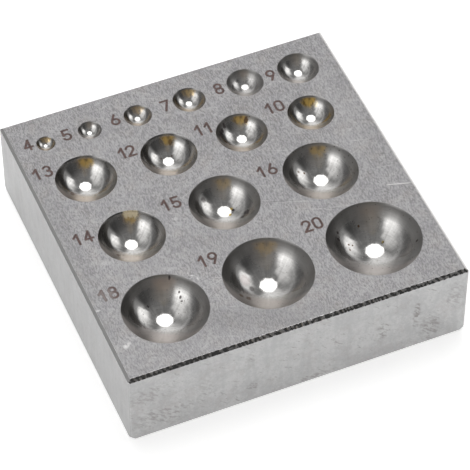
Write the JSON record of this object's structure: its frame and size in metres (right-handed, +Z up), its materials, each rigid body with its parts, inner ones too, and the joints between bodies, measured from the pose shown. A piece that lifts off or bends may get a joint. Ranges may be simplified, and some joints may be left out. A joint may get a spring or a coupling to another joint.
{
  "type": "doming block",
  "caption": "Flat square steel block with rows of graduated round hollows and engraved size numbers, for doming sheet metal.",
  "frame": {"origin": "middle of the underside", "axes": "+Z up, the way the hollows open; +X to the right and +Y to the back, so that the row with the smallest hollows is at the back and the numbers read upright from the front"},
  "size_m": [0.075, 0.075, 0.0195],
  "materials": {
    "steel": "ground flat on all faces, with the hollows turned and polished",
    "burnt_scale": "matt dark brown oxide that a marking laser leaves in its lines"
  },
  "bodies": {
    "root": {"block": "steel", "size_numbers": "burnt_scale"}
  },
  "joints": []
}
